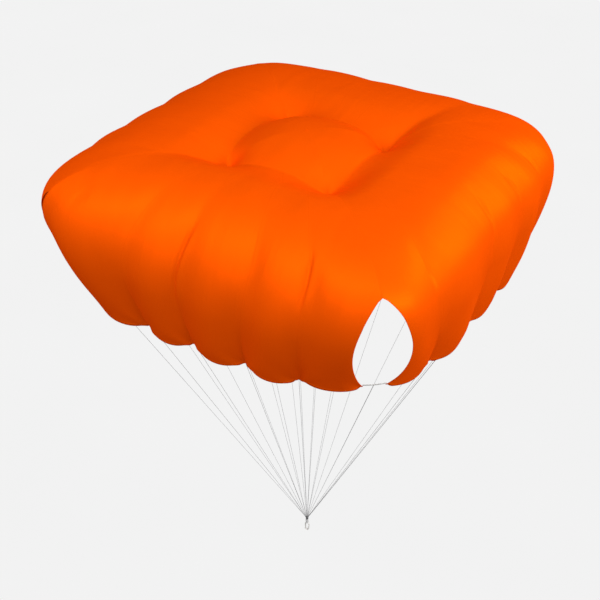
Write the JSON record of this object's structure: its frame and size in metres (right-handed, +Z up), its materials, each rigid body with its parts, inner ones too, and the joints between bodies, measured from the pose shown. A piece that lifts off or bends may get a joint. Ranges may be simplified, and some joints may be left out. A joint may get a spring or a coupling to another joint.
{
  "type": "square reserve parachute",
  "caption": "Square reserve parachute, open and under load: pulled-down crown, four quarter panels with scalloped hem and leaf-shaped corner vents, and lines to one riser loop.",
  "frame": {"origin": "middle of the riser loop's inner floor, where the harness pulls", "axes": "+Z up from the harness to the canopy; the picture's front left side of the canopy faces -Y, its front right side faces +X"},
  "size_m": [4.0654, 3.9759, 5.1963],
  "materials": {
    "canopy_cloth": "thin orange nylon, satin",
    "hem_tape": "white woven tape",
    "line_braid": "pale grey braided line",
    "sleeve_rubber": "matt pale grey sleeve",
    "riser_webbing": "off-white flat webbing"
  },
  "bodies": {
    "root": {"crown_panel": "canopy_cloth", "quarter_front_left": "canopy_cloth", "quarter_front_right": "canopy_cloth", "quarter_back_right": "canopy_cloth", "quarter_back_left": "canopy_cloth", "corner_tape_front": "hem_tape", "corner_tape_right": "hem_tape", "corner_tape_back": "hem_tape", "corner_tape_left": "hem_tape", "line_hem_01": "line_braid", "line_hem_02": "line_braid", "line_hem_03": "line_braid", "line_hem_04": "line_braid", "line_hem_05": "line_braid", "line_hem_06": "line_braid", "line_hem_07": "line_braid", "line_hem_08": "line_braid", "line_hem_09": "line_braid", "line_hem_10": "line_braid", "line_hem_11": "line_braid", "line_hem_12": "line_braid", "line_hem_13": "line_braid", "line_hem_14": "line_braid", "line_hem_15": "line_braid", "line_hem_16": "line_braid", "line_hem_17": "line_braid", "line_hem_18": "line_braid", "line_hem_19": "line_braid", "line_hem_20": "line_braid", "line_centre_front": "line_braid", "line_centre_right": "line_braid", "line_centre_back": "line_braid", "line_centre_left": "line_braid", "line_sleeve": "sleeve_rubber", "riser_loop": "riser_webbing"}
  },
  "joints": []
}
